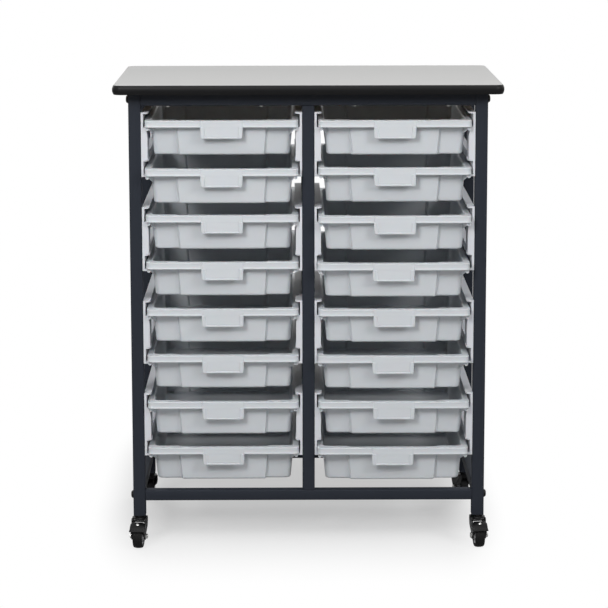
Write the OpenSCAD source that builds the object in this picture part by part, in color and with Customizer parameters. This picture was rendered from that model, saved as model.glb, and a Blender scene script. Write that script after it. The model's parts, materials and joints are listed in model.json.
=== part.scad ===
// Mobile tray rack: tube frame, laminate worktop, sixteen sliding trays, four casters.
// Origin on the floor under the middle of the worktop. Front is -Y, up is +Z. Millimetres.

/* [Worktop] */
// Height of the rack, floor to worktop surface
rack_h = 966; // [940:1:1040]
// Width of the worktop
top_w = 790; // [780:1:840]
// Depth of the worktop
top_d = 470; // [464:1:520]
// Thickness of the board core
core_t = 18; // [16:1:25]
// Thickness of the laminate face
laminate_t = 1; // [0.6:0.1:1.5]
// Corner radius of the worktop in plan
top_r = 20; // [10:1:40]
// How far the edge band bulges out from the board
band_t = 3; // [2:0.5:5]
// How far the barb of the edge band reaches into the board
barb_l = 8; // [5:1:12]
// Thickness of the barb
barb_t = 2; // [1.5:0.5:3]

/* [Frame] */
// Width of the frame over the outer posts
frame_w = 729; // [700:1:770]
// Depth of the frame over front and rear posts
frame_d = 366; // [350:1:395]
// How far the worktop stands out in front of the posts
front_over = 38; // [38:1:50]
// Side of the square post tube
post = 25.4; // [25:0.1:26]
// Side of the square bottom rail tube
rail = 22; // [18:1:24]
// Height of the top rail tube
top_rail_h = 25.4; // [20:0.1:28]
// Wall of all tubes
tube_wall = 1.6; // [1.2:0.1:2]
// Outer corner radius of all tubes
tube_r = 2.5; // [2:0.5:4]
// Underside of the bottom rails above the floor
rail_z = 98; // [92:0.5:104]

/* [Runners] */
// Underside of the worktop to the rim of the top tray
top_clear = 54.3; // [50:0.1:60]
// Top of the bottom rails to the underside of the lowest tray
low_clear = 21.2; // [15:0.1:40]
// Thickness of the runner's web on the post
web_t = 4.5; // [3.5:0.5:5]
// Width of the hold-down flange over the tray rim
flange_w = 14.5; // [11:0.5:16]
// Thickness of the hold-down flange
flange_t = 3; // [2:0.5:4]
// Free height between tray rim and hold-down flange
lift_gap = 12.5; // [8:0.5:14]
// Width of the ledge under the tray rim
ledge_w = 10.5; // [10:0.5:13]
// Thickness of the lowest ledge
ledge_t = 4; // [3:0.5:6]
// Widest part of the body between the two channels
body_w = 12.8; // [12:0.1:14]
// Height over which the body narrows to the ledge
waist_h = 17; // [12:1:40]
// Plan radius of the flange's front corner
flange_r = 9; // [4:1:10]
// Wall of a runner's end blocks round their core pockets
core_wall = 2.6; // [2:0.2:4]
// Length of the block at each end of a runner
block_l = 58; // [45:1:90]
// Height of the beam under the upper ledge, over the window between the blocks
ledge_beam = 9; // [6:0.5:14]
// Height of the beam on the lower flange, under the window
low_beam = 11.5; // [8:0.5:20]
// Corner radius of the window
window_r = 5; // [2:0.5:8]

/* [Trays] */
// Gap between the tray's rim and the posts beside it
tray_gap = 7.2; // [6:0.1:9]
// Length of the tray over its rim
tray_d = 427; // [415:1:430]
// Height of the tray
tray_h = 72.5; // [60:0.5:78]
// Wall of the tray
tray_wall = 2.2; // [1.6:0.2:3]
// Height of the turned-down rim
lip_h = 14.5; // [12:0.5:16]
// Thickness of the turned-down rim
lip_t = 2; // [1.6:0.2:2.6]
// Thickness of the flat top of the rim
rim_t = 2.4; // [2:0.2:3]
// Plan radius of the rim corners
rim_r = 10; // [6:1:18]
// Rim edge to side wall, at the top
side_set = 11; // [10:0.5:18]
// Rim edge to front wall, at the top
front_set = 19; // [18:0.5:24]
// Rim edge to rear wall, at the top
rear_set = 14; // [13:0.5:18]
// How far the side walls lean in over the height
side_draft = 6.5; // [3:0.5:8]
// How far the end walls lean in over the height
end_draft = 11; // [6:0.5:14]
// Plan radius of the body corners
body_r = 12; // [10:1:22]
// Radius between wall and floor
floor_r = 4; // [3.5:0.5:12]
// Width of the raised middle panel at the rim
panel_w = 182; // [140:1:200]
// How much narrower the panel is at the floor
panel_taper = 12; // [0:1:20]
// How far the panel stands out at the rim
panel_top = 6.5; // [2:0.5:8]
// How far the panel stands out at the floor
panel_low = 8.5; // [4:0.5:9]
// Slant of the panel's side flanks
panel_flank = 4; // [3:0.5:10]
// Rim front to runner front when the tray is closed
closed_over = 9.5; // [8:0.5:14]
// Gap between tray and what it slides on
slide_gap = 0.3; // [0.2:0.1:0.6]
// How far each left tray stands open, top to bottom
left_open = [0, 17, 1, 0, 1, 0, 3.5, 1.5]; // [0:0.5:20]
// How far each right tray stands open, top to bottom
right_open = [3, 4, 17, 18, 8, 12, 6, 8]; // [0:0.5:20]
// Share of the sideways play that each right tray takes up
right_shift = [0, 0, 0, -1, 0, -1, 0, -1]; // [-1:0.1:1]
// Rim edge to the lug under each front corner
lug_set = 2; // [1:0.5:4]
// Width of the lug
lug_w = 7.5; // [5:0.5:9]
// Thickness of the web from the lug to the body
web_thick = 1.8; // [1.4:0.2:2.4]
// How far the lug hangs below the rim
lug_drop = 7; // [4:0.5:9]

/* [Handles] */
// Width of the handle at the rim
handle_w = 88; // [80:1:110]
// Width of the handle at its lower edge
handle_low_w = 84; // [76:1:100]
// Height of the handle
handle_h = 37.5; // [30:0.5:42]
// Radius of the handle's lower corners
handle_r = 4; // [2:0.5:6]
// Depth of the label recess
label_in = 1.6; // [1:0.2:2]
// Thickness of the label plate
label_t = 2; // [1.6:0.2:3]
// Width of the border beside the label
border_w = 8; // [4:0.5:10]
// Height of the border under the label
border_h = 3; // [2:0.5:8]

/* [Casters] */
// Foot of the posts above the floor
foot_z = 65.7; // [65:0.1:72]
// Diameter of the wheel
wheel_dia = 50; // [46:1:51]
// Width of the tyre
tyre_w = 20; // [16:1:21]
// Diameter of the hub
hub_dia = 34; // [28:1:38]
// Offset of the axle from the stem
trail = 22; // [20:1:24]
// Diameter of the stem
stem_dia = 10; // [8:1:11]
// Length of the stem's plug in the post
plug_l = 28; // [20:1:40]
// Diameter of the collar under the post
collar_dia = 24.8; // [20:0.1:25]
// Thickness of the collar and its gap over the fork
collar_t = 4; // [3:0.5:6]
// Height of the fork's round cap
cap_h = 8; // [6:0.5:10]
// Diameter of the axle
axle_dia = 6; // [5:0.5:7]
// Radial running clearance of stem and axle
run_gap = 0.05; // [0.03:0.01:0.1]
// Radius of the fork's round cap
cap_r = 16.2; // [15:0.1:16.5]
// Thickness of the fork's steel
fork_t = 2.4; // [2:0.2:3]
// Free space between tyre and fork cheek
cheek_gap = 2.2; // [1.8:0.2:3]
// Width of the brake pedal
pedal_w = 31; // [26:1:34]
// Thickness of the brake pedal
pedal_t = 2.4; // [2:0.2:3]
// Free space between released pedal and tyre
brake_gap = 3; // [2.6:0.2:3.4]
// Diameter of the pedal's pin
pedal_pin_dia = 4; // [3:0.5:4]
// Turn of the front casters outwards
front_turn = 5; // [-45:1:45]
// Turn of the rear casters towards the left
rear_turn = 20; // [-45:1:45]

/* [Fasteners] */
// Diameter of the side bolt heads
bolt_head_dia = 17; // [14:0.5:19]
// Height of the side bolt heads
bolt_head_h = 5; // [3:0.5:6]
// Diameter of the side bolts
bolt_dia = 6; // [5:1:8]
// Diameter of the runner screws
screw_dia = 4; // [3:0.5:5]
// Diameter of the worktop screws
top_screw_dia = 5; // [4:0.5:6]

/* [Hidden] */

$fn = 48;
// Small overlap that lets a cut run clean through a face
eps = 0.5;

// Colours
powder = [0.20, 0.22, 0.25];
laminate_grey = [0.79, 0.79, 0.78];
black = [0.11, 0.11, 0.12];
tray_grey = [0.80, 0.82, 0.84];
runner_grey = [0.78, 0.79, 0.81];
steel = [0.75, 0.75, 0.76];

// Places shared by the pieces
front_y = -top_d / 2 + front_over;
rear_y = front_y + frame_d;
post_x = frame_w / 2 - post / 2;
post_front_y = front_y + post / 2;
post_rear_y = rear_y - post / 2;
board_z = rack_h - laminate_t - core_t;
top_rail_z = board_z - top_rail_h;
bay_w = (frame_w - 3 * post) / 2;
bay_x = post / 2 + bay_w / 2;
tray_w = bay_w - 2 * tray_gap;
ledge_hold = 1;
side_play = min(tray_gap - web_t - slide_gap, ledge_w - tray_gap - ledge_hold);
rail_l = frame_w - 2 * post;
side_rail_l = frame_d - 2 * post;
levels = 8;
first_rim_z = board_z - top_clear;
last_rim_z = rail_z + rail + low_clear + tray_h;
tray_pitch = (first_rim_z - last_rim_z) / (levels - 1);

// Caster sizes, measured from the floor at the stem
wheel_r = wheel_dia / 2;
cap_z = foot_z - collar_t;
crown_z = cap_z - cap_h;
cheek_x = tyre_w / 2 + cheek_gap;
stem_head_t = 2.5;
pedal_barrel_r = 3;
pedal_y = -cap_r - pedal_barrel_r - 0.8;
pedal_z = crown_z + 3.6;

// A regular arc of points, from angle a to angle b
function arc(cx, cy, r, a, b, n) =
    [for (i = [0:n]) [cx + r * cos(a + (b - a) * i / n), cy + r * sin(a + (b - a) * i / n)]];

// A rectangle with round corners, as points that run anticlockwise
function rounded(x0, x1, y0, y1, r, n = 4) = concat(
    arc(x1 - r, y1 - r, r, 0, 90, n),
    arc(x0 + r, y1 - r, r, 90, 180, n),
    arc(x0 + r, y0 + r, r, 180, 270, n),
    arc(x1 - r, y0 + r, r, 270, 360, n));

// Triangles between rings of equal length, lowest ring first
module loft(rings, heights) {
    n = len(rings[0]);
    m = len(rings);
    points = [for (k = [0:m - 1]) for (p = rings[k]) [p[0], p[1], heights[k]]];
    sides = [for (k = [0:m - 2]) for (i = [0:n - 1]) let (j = (i + 1) % n, a = k * n)
        each [[a + i, a + n + j, a + j], [a + i, a + n + i, a + n + j]]];
    bottom = [[for (i = [0:n - 1]) i]];
    top = [[for (i = [0:n - 1]) m * n - 1 - i]];
    polyhedron(points = points, faces = concat(bottom, sides, top), convexity = 4);
}

// Square tube along Z, with its outer corners rounded
module tube(w, d, l) {
    linear_extrude(l) difference() {
        polygon(rounded(-w / 2, w / 2, -d / 2, d / 2, tube_r, 3));
        polygon(rounded(-w / 2 + tube_wall, w / 2 - tube_wall, -d / 2 + tube_wall, d / 2 - tube_wall,
            tube_r - tube_wall + 0.2, 3));
    }
}

// Holes in a post for the two side bolts, through both walls along X
module post_bolt_holes() {
    for (z = [rail_z + rail / 2, top_rail_z + top_rail_h / 2])
        translate([0, 0, z]) rotate([0, 90, 0]) cylinder(h = 2 * post, d = bolt_dia + 0.6, center = true);
}

// Heights of the runner screws, one per double runner
function screw_z(k) = first_rim_z - 2 * k * tray_pitch - tray_pitch / 2;

// Pilot holes in a post wall for the runner screws; side is +1 or -1 along X
module post_screw_holes(side) {
    for (k = [0:3])
        translate([side * (post / 2 - tube_wall - eps), 0, screw_z(k)]) rotate([0, side * 90, 0])
            cylinder(h = tube_wall + 2 * eps, d = screw_dia + 0.2);
}

// Outer post; side is -1 on the left and +1 on the right
module outer_post(side, y) {
    color(powder) translate([side * post_x, y, 0]) difference() {
        translate([0, 0, foot_z]) tube(post, post, board_z - foot_z);
        post_bolt_holes();
        post_screw_holes(-side);
    }
}

// Centre post, welded between the bottom and the top rail
module centre_post(y) {
    color(powder) translate([0, y, 0]) difference() {
        translate([0, 0, rail_z + rail]) tube(post, post, top_rail_z - rail_z - rail);
        for (side = [-1, 1]) post_screw_holes(side);
    }
}

// Places of the worktop screws along a front or rear rail
screw_xs = [-rail_l * 0.42, -rail_l * 0.14, rail_l * 0.14, rail_l * 0.42];

// Cross rail along X; dir is -1 at the front and +1 at the rear
module cross_rail(dir, z, h, screwed) {
    y = dir < 0 ? front_y + rail / 2 : rear_y - rail / 2;
    color(powder) difference() {
        translate([-rail_l / 2, y, z + h / 2]) rotate([0, 90, 0]) tube(h, rail, rail_l);
        if (screwed) for (x = screw_xs) translate([x, y, z - eps])
            cylinder(h = h + 2 * eps, d = top_screw_dia + 0.5);
    }
}

// Side rail along Y; side is -1 on the left and +1 on the right
module side_rail(side, z, h) {
    color(powder) translate([side * (frame_w - rail) / 2, front_y + post, z + h / 2])
        rotate([-90, 0, 0]) tube(rail, h, side_rail_l);
}

// Board core, with the groove for the barb of the edge band
module worktop_core() {
    color([0.72, 0.63, 0.50]) difference() {
        translate([0, 0, board_z]) linear_extrude(core_t)
            square([top_w - 2 * band_t, top_d - 2 * band_t], center = true);
        translate([0, 0, board_z + core_t / 2]) band_corner_cut();
        band_sweep(groove_profile());
        for (x = screw_xs) for (y = [front_y + rail / 2, rear_y - rail / 2])
            translate([x, y, board_z - eps]) cylinder(h = 12 + eps, d = top_screw_dia);
    }
}

// Squares off the board's corners that the round cut takes away
module band_corner_cut() {
    r = top_r - band_t;
    for (sx = [-1, 1]) for (sy = [-1, 1])
        translate([sx * (top_w / 2 - top_r), sy * (top_d / 2 - top_r), -core_t / 2 - eps])
            difference() {
                translate([sx > 0 ? 0 : -top_r, sy > 0 ? 0 : -top_r, 0])
                    cube([top_r, top_r, core_t + 2 * eps]);
                translate([0, 0, -eps]) cylinder(h = core_t + 4 * eps, r = r);
            }
}

// Edge band section: distance out from the board edge, height
function band_profile() = let (h = core_t + laminate_t, b = board_z, m = b + core_t / 2) [
    [0, b], [band_t * 0.55, b], [band_t * 0.9, b + 1.2], [band_t, b + 3.2], [band_t, b + h - 3.2],
    [band_t * 0.9, b + h - 1.2], [band_t * 0.55, b + h], [0, b + h],
    [0, m + barb_t / 2], [-barb_l, m + barb_t / 2], [-barb_l, m - barb_t / 2], [0, m - barb_t / 2]];

// Groove section in the board, a little deeper and no wider than the barb
function groove_profile() = let (m = board_z + core_t / 2) [
    [-barb_l - eps, m - barb_t / 2], [eps, m - barb_t / 2],
    [eps, m + barb_t / 2], [-barb_l - eps, m + barb_t / 2]];

// Carries a section round the worktop: four straight runs and four corners
module band_sweep(section) {
    r = top_r - band_t;
    cx = top_w / 2 - top_r;
    cy = top_d / 2 - top_r;
    for (s = [-1, 1]) {
        translate([s * (cx + r), 0, 0]) scale([s, 1, 1]) rotate([90, 0, 0])
            linear_extrude(2 * cy, center = true) polygon(section);
        translate([0, s * (cy + r), 0]) rotate([0, 0, s * 90]) rotate([90, 0, 0])
            linear_extrude(2 * cx, center = true) polygon(section);
    }
    for (k = [0:3]) {
        sx = (k == 0 || k == 3) ? 1 : -1;
        sy = k < 2 ? 1 : -1;
        translate([sx * cx, sy * cy, 0]) rotate([0, 0, 90 * k]) rotate_extrude(angle = 90)
            translate([r, 0]) polygon(section);
    }
}

module worktop_edge_band() {
    color(black) band_sweep(band_profile());
}

// Laminate face, with round corners
module worktop_laminate() {
    r = top_r - band_t;
    cx = top_w / 2 - top_r;
    cy = top_d / 2 - top_r;
    color(laminate_grey) translate([0, 0, board_z + core_t]) linear_extrude(laminate_t) union() {
        square([2 * cx + 2 * r, 2 * cy], center = true);
        square([2 * cx, 2 * cy + 2 * r], center = true);
        for (sx = [-1, 1]) for (sy = [-1, 1]) translate([sx * cx, sy * cy]) circle(r = r);
    }
}

// Screws up through the top rails into the board
module worktop_screws() {
    color(steel) for (x = screw_xs) for (y = [front_y + rail / 2, rear_y - rail / 2])
        translate([x, y, 0]) {
            translate([0, 0, top_rail_z - 2.5]) cylinder(h = 2.5, d = 2 * top_screw_dia);
            translate([0, 0, top_rail_z - 1]) cylinder(h = top_rail_h + 12, d = top_screw_dia - 0.2);
        }
}

// Dome-headed bolts that pull the cross rails onto the side frames
module side_bolts() {
    sphere_r = (bolt_head_dia * bolt_head_dia / 4 + bolt_head_h * bolt_head_h) / (2 * bolt_head_h);
    color(black) for (side = [-1, 1]) for (y = [post_front_y, post_rear_y])
        for (z = [rail_z + rail / 2, top_rail_z + top_rail_h / 2])
            translate([side * frame_w / 2, y, z]) rotate([0, side * 90, 0]) {
                intersection() {
                    translate([0, 0, bolt_head_h - sphere_r]) sphere(r = sphere_r);
                    cylinder(h = bolt_head_h + eps, d = bolt_head_dia);
                }
                translate([0, 0, -post - 12]) cylinder(h = post + 12 + 1, d = bolt_dia);
            }
}

// Block that fills a tube with play all round, its corners clear of the tube's inner radius
module insert_block(l, w, h) {
    translate([-l / 2, 0, 0]) rotate([90, 0, 90]) linear_extrude(l)
        polygon(rounded(-w / 2, w / 2, -h / 2, h / 2, tube_r, 3));
}

// Threaded blocks in the ends of the cross rails
module rail_inserts() {
    insert_l = 14;
    fit = 0.3;
    color(steel) for (side = [-1, 1]) for (k = [[-1, rail_z, rail], [1, rail_z, rail],
        [-1, top_rail_z, top_rail_h], [1, top_rail_z, top_rail_h]]) {
        y = k[0] < 0 ? front_y + rail / 2 : rear_y - rail / 2;
        bolt_y = k[0] < 0 ? post_front_y : post_rear_y;
        translate([side * (rail_l / 2 - insert_l / 2), y, k[1] + k[2] / 2]) difference() {
            insert_block(insert_l, rail - 2 * tube_wall - fit, k[2] - 2 * tube_wall - fit);
            translate([0, bolt_y - y, 0]) rotate([0, 90, 0])
                cylinder(h = insert_l + 2 * eps, d = bolt_dia + 0.1, center = true);
        }
    }
}

// Section of a double runner: distance from the post, height above the upper rim
function runner_section() = let (
    ledge = -lip_h - slide_gap,
    second = ledge - tray_pitch,
    under = lift_gap - tray_pitch,
    ledge_edge = 2) concat(
    [[0, lift_gap + flange_t], [0, second - ledge_t], [ledge_w, second - ledge_t], [ledge_w, second],
        [web_t, second], [web_t, under], [flange_w, under], [flange_w, under + flange_t],
        [body_w, under + flange_t]],
    [for (i = [0:4]) let (t = i / 4, s = t * t * (3 - 2 * t))
        [body_w + (ledge_w - body_w) * s, ledge - ledge_edge - waist_h * (1 - t)]],
    [[ledge_w, ledge], [web_t, ledge], [web_t, lift_gap], [flange_w, lift_gap],
        [flange_w, lift_gap + flange_t]]);

// Core pocket in the back of each end block, from the post to the window
module runner_pockets() {
    top = -lip_h - slide_gap - core_wall - 1;
    low = lift_gap - tray_pitch + core_wall;
    long = block_l - post - core_wall;
    for (y = [post, frame_d - post - long])
        translate([-eps, y, low]) cube([ledge_w - core_wall - 1.2 + eps, long, top - low]);
}

// Window through a double runner, between its end blocks and its two beams
module runner_window() {
    top = -lip_h - slide_gap - ledge_beam;
    low = lift_gap + flange_t - tray_pitch + low_beam;
    translate([-eps, 0, 0]) rotate([90, 0, 90]) linear_extrude(body_w + 2 * eps)
        translate([block_l, low]) offset(r = window_r) offset(delta = -window_r)
            square([frame_d - 2 * block_l, top - low]);
}

// What the plan radius takes off a flange at its front corner; over is how far it runs past the top
module flange_corner(over) {
    difference() {
        translate([0, -eps, -eps]) cube([flange_r + eps, flange_r + eps, flange_t + eps + over]);
        translate([0, flange_r, -2 * eps]) cylinder(h = flange_t + 4 * eps, r = flange_r);
    }
}

// One double runner on the post face at x = 0, growing towards +X, from y = 0 to the frame depth
module runner() {
    difference() {
        translate([0, frame_d, 0]) rotate([90, 0, 0]) linear_extrude(frame_d) polygon(runner_section());
        runner_pockets();
        runner_window();
        translate([flange_w - flange_r, 0, lift_gap]) flange_corner(eps);
        translate([flange_w - flange_r, 0, lift_gap - tray_pitch]) flange_corner(0);
        for (y = [post / 2, frame_d - post / 2]) translate([0, y, -tray_pitch / 2]) rotate([0, 90, 0]) {
            translate([0, 0, -eps]) cylinder(h = body_w + 5, d = screw_dia + 0.4);
            translate([0, 0, 5]) cylinder(h = body_w, d = 2 * screw_dia + 0.6);
        }
    }
}

// The four double runners on one side of a bay; x is the post face, dir the way they grow
module runner_column(x, dir) {
    color(runner_grey) for (k = [0:3])
        translate([x, front_y, first_rim_z - 2 * k * tray_pitch]) scale([dir, 1, 1]) runner();
}

// Faces of the posts that carry runners, with the way the runners grow
runner_faces = [[-frame_w / 2 + post, 1], [-post / 2, -1], [post / 2, 1], [frame_w / 2 - post, -1]];

// Pan-head screws of all runners
module runner_screws() {
    color(steel) for (f = runner_faces) for (y = [post_front_y, post_rear_y]) for (k = [0:3])
        translate([f[0], y, screw_z(k)]) rotate([0, f[1] * 90, 0]) {
            translate([0, 0, -tube_wall - 3]) cylinder(h = tube_wall + 3 + 5.5, d = screw_dia);
            translate([0, 0, 5]) cylinder(h = 2.4, d = 2 * screw_dia);
        }
}

// Outline of the tray body at height z below the rim, set in by s
function body_ring(z, s, n = 4) = let (t = -z / tray_h) rounded(
    -tray_w / 2 + side_set + side_draft * t + s, tray_w / 2 - side_set - side_draft * t - s,
    front_set + end_draft * t + s, tray_d - rear_set - end_draft * t - s,
    body_r - s * 0.6, n);

// Outline of a raised end panel; y is the wall, w the panel's width and dir points outwards
function panel_ring(y, w, out, dir) = let (
    root = 4,
    foot = w / 2 + panel_flank * (1 + root / out)) dir < 0
    ? [[-foot, y + root], [-w / 2, y - out], [w / 2, y - out], [foot, y + root]]
    : [[foot, y - root], [w / 2, y + out], [-w / 2, y + out], [-foot, y - root]];

function panel_width(z) = panel_w + panel_taper * z / tray_h;
function panel_out(z) = panel_top + (panel_low - panel_top) * -z / tray_h;
function wall_y(z, dir) = dir < 0
    ? front_set + end_draft * -z / tray_h
    : tray_d - rear_set - end_draft * -z / tray_h;

// Insets and heights that turn the wall into the floor over a radius r
function floor_steps(r) = [[r, 0], [r * 0.293, r * 0.293], [0, r]];

// Solid inside of a tray shape: s is the wall that is taken off, lift the floor that is left
module tray_form(s, lift, top) {
    r = floor_r - s;
    steps = floor_steps(r);
    zs = [for (p = steps) -tray_h + lift + p[1]];
    ins = concat([for (p = steps) p[0] + s], s > 0 ? [s, s - 0.8, s - 2.8] : [0]);
    all_z = concat(zs, s > 0 ? [-3, -0.9, top] : [top]);
    loft([for (i = [0:len(ins) - 1]) body_ring(min(all_z[i], 0), ins[i])], all_z);
    for (dir = [-1, 1])
        loft([for (i = [0:len(ins) - 1]) let (z = min(all_z[i], 0), ease = ins[i])
            panel_ring(wall_y(z, dir) - dir * ease, panel_width(z) - s, panel_out(z), dir)], all_z);
}

// The turned-down rim, open below
module rim() {
    difference() {
        translate([0, 0, -lip_h]) linear_extrude(lip_h)
            polygon(rounded(-tray_w / 2, tray_w / 2, 0, tray_d, rim_r, 5));
        translate([0, 0, -lip_h - eps]) linear_extrude(lip_h - rim_t + eps)
            polygon(rounded(-tray_w / 2 + lip_t, tray_w / 2 - lip_t, lip_t, tray_d - lip_t,
                rim_r - lip_t, 5));
    }
}

// Half width of the handle at height z below the rim
function handle_half(z) = (handle_w + (handle_low_w - handle_w) * -z / handle_h) / 2;

// Trapezium across the handle between two heights, its sides set in by s and its low corners rounded by r
module handle_plate(z0, z1, s, y, t, r = 0) {
    low = handle_half(z1) - s;
    top = handle_half(z0) - s;
    translate([0, y + t, 0]) rotate([90, 0, 0]) linear_extrude(t)
        polygon(concat(
            r > 0 ? arc(-low + r, z1 + r, r, 184, 270, 4) : [[-low, z1]],
            r > 0 ? arc(low - r, z1 + r, r, 270, 356, 4) : [[low, z1]],
            [[top, z0], [-top, z0]]));
}

// Label handle: plate, border on three sides and round lower edge
module handle() {
    handle_plate(-1, -handle_h, 0, label_in, label_t, handle_r);
    difference() {
        handle_plate(-lip_h + 0.5, -handle_h, 0, 0, label_in + 0.2, handle_r);
        translate([0, -eps, 0]) handle_plate(-lip_h + 1, -handle_h + border_h, border_w, 0, label_in + eps);
    }
}

// What is cut from the rim over the label, down to the label plane and round at its top edge
module label_cut() {
    w = handle_w - 3;
    translate([w / 2, 0, 0]) rotate([90, 0, -90]) linear_extrude(w)
        polygon([[eps, eps], [-10, eps], [-10, 0], [-6, -0.4], [-3.6, -1.3], [-2.1, -3.2], [-label_in, -6],
            [-label_in, -lip_h - eps], [eps, -lip_h - eps]]);
}

// Stop lug under a front corner of the rim, in front of the runner, with a web to the body's corner
module stop_lug(side) {
    lug_d = 5;
    top = -rim_t + 0.2;
    low = -lip_h - lug_drop;
    back = closed_over - slide_gap;
    translate([side * (tray_w / 2 - lug_set - lug_w / 2), back, 0]) rotate([90, 0, 0])
        linear_extrude(lug_d) union() {
            translate([-lug_w / 2, low + lug_w / 2]) square([lug_w, top - low - lug_w / 2]);
            translate([0, low + lug_w / 2]) circle(r = lug_w / 2);
        }
    // Web from the lug's rear edge to the middle of the corner arc of the body
    foot_in = side_set + side_draft / 2 + 0.3 * body_r;
    foot_back = front_set + end_draft / 2 + 0.3 * body_r;
    run = [foot_in - lug_set - lug_w + web_thick, foot_back - back + web_thick];
    translate([side * (tray_w / 2 - lug_set - lug_w + web_thick / 2), back - web_thick, 0])
        rotate([90, 0, side > 0 ? 180 - atan2(run[1], run[0]) : atan2(run[1], run[0])])
            linear_extrude(web_thick, center = true)
                polygon([[0, low + lug_w / 2], [norm(run), low - 8], [norm(run), top], [0, top]]);
}

// One tray; origin at the middle of the rim's front top edge
module tray() {
    difference() {
        union() {
            rim();
            tray_form(0, 0, -0.6);
            for (side = [-1, 1]) stop_lug(side);
        }
        tray_form(tray_wall, tray_wall, eps);
        label_cut();
    }
    handle();
}

// Tray of column c (0 left, 1 right) at level i, standing open as the photo shows
module placed_tray(c, i) {
    open = c == 0 ? left_open[i] : right_open[i];
    shift = c == 0 ? 0 : right_shift[i] * side_play;
    color(tray_grey) translate([(c == 0 ? -bay_x : bay_x) + shift, front_y - closed_over - open,
        first_rim_z - i * tray_pitch]) tray();
}

// Stem: plug in the post, collar and riveted pin
module caster_stems() {
    fit = 0.2;
    plug = post - 2 * tube_wall - 2 * fit;
    pin_z = crown_z - stem_head_t - slide_gap;
    color(black) for (x = [-post_x, post_x]) for (y = [post_front_y, post_rear_y]) translate([x, y, 0]) {
        translate([0, 0, foot_z]) linear_extrude(plug_l)
            polygon(rounded(-plug / 2, plug / 2, -plug / 2, plug / 2, 2, 3));
        translate([0, 0, cap_z + slide_gap]) cylinder(h = foot_z - cap_z - slide_gap, d = collar_dia);
        translate([0, 0, pin_z]) cylinder(h = foot_z - pin_z, d = stem_dia);
        translate([0, 0, pin_z]) cylinder(h = stem_head_t, d = stem_dia + 5);
    }
}

// A point at angle a and radius r about the axle, along the trail and up
function polar(a, r) = [-trail + r * cos(a), wheel_r + r * sin(a)];

// Outline of a fork cheek; reach is how far it covers the wheel in front
function cheek_outline(reach) = concat(
    [polar(185, 8), polar(162, 13), polar(146, 19)],
    [for (a = [134, 122, 110]) polar(a, reach)],
    [[pedal_y - 1, crown_z + 3], [-12, cap_z - 1], [12, cap_z - 2], [13, crown_z - 4],
        [8, crown_z - 14], polar(20, 9), polar(-40, 7.8)]);

// Fork: round cap, crown over the wheel, two cheeks; stem axis at the origin, wheel towards -Y
module fork(braked) {
    out_x = cheek_x + fork_t;
    reach = braked ? wheel_r - 1.5 : wheel_r + 4;
    difference() {
        union() {
            rotate_extrude() polygon([[0, crown_z], [cap_r - 1.5, crown_z], [cap_r, crown_z + 2],
                [cap_r, cap_z - 2], [cap_r - 2.2, cap_z], [0, cap_z]]);
            translate([-out_x, -12, crown_z]) cube([2 * out_x, 24, fork_t + 0.6]);
            for (side = [-1, 1]) translate([side > 0 ? cheek_x : -out_x, 0, 0])
                rotate([90, 0, 90]) linear_extrude(fork_t) union() {
                    polygon(cheek_outline(reach));
                    translate(polar(0, 0)) circle(r = 8);
                    if (braked) translate([pedal_y, pedal_z]) circle(r = 4.8);
                }
            if (!braked) hood();
        }
        translate([0, 0, crown_z - eps]) cylinder(h = cap_z - crown_z + 2 * eps, d = stem_dia + 2 * run_gap);
        translate([0, -trail, wheel_r]) rotate([0, 90, 0])
            cylinder(h = 2 * out_x + 2, d = axle_dia + 2 * run_gap, center = true);
        if (braked) translate([0, pedal_y, pedal_z]) rotate([0, 90, 0])
            cylinder(h = 2 * out_x + 2, d = pedal_pin_dia + 2 * run_gap, center = true);
    }
}

// Closed hood of an unbraked fork, between its cheeks above the wheel
module hood() {
    translate([-cheek_x - 0.2, 0, 0]) rotate([90, 0, 90]) linear_extrude(2 * cheek_x + 0.4)
        polygon(concat(
            arc(-trail, wheel_r, wheel_r + 4, 80, 134, 8),
            arc(-trail, wheel_r, wheel_r + 2, 134, 80, 8)));
}

// Axle bolt with a round head on the left and a nut on the right
module axle() {
    out_x = cheek_x + fork_t;
    translate([0, -trail, wheel_r]) rotate([0, 90, 0]) {
        translate([0, 0, -out_x - 3]) cylinder(h = 2 * out_x + 8, d = axle_dia);
        translate([0, 0, -out_x - 3]) cylinder(h = 3, d = axle_dia + 5);
        translate([0, 0, out_x]) cylinder(h = 4, d = axle_dia + 5, $fn = 6);
    }
}

// Hub: bore, bosses that space it off the cheeks, thin web and rim
module hub() {
    hub_r = hub_dia / 2;
    half = tyre_w / 2;
    boss = cheek_x - 0.3;
    bore = axle_dia / 2 + run_gap;
    boss_r = axle_dia / 2 + 4;
    in_r = hub_r - 3;
    dish = tyre_w / 4;
    inset = 0.6;
    translate([0, -trail, wheel_r]) rotate([0, 90, 0]) rotate_extrude()
        polygon([[bore, -boss], [boss_r, -boss], [boss_r, -half + dish], [in_r, -half + dish],
            [in_r, -half + inset], [hub_r, -half + inset], [hub_r, half - inset], [in_r, half - inset],
            [in_r, half - dish], [boss_r, half - dish], [boss_r, boss], [bore, boss]]);
}

// Tyre: round shoulders and a slight crown
module tyre() {
    half = tyre_w / 2;
    shoulder = 4.5;
    translate([0, -trail, wheel_r]) rotate([0, 90, 0]) rotate_extrude()
        polygon(concat(
            [[hub_dia / 2, half], [hub_dia / 2, -half]],
            arc(wheel_r - shoulder - 0.3, -half + shoulder, shoulder, -90, -8, 6),
            [[wheel_r, 0]],
            arc(wheel_r - shoulder - 0.3, half - shoulder, shoulder, 8, 90, 6)));
}

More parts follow.
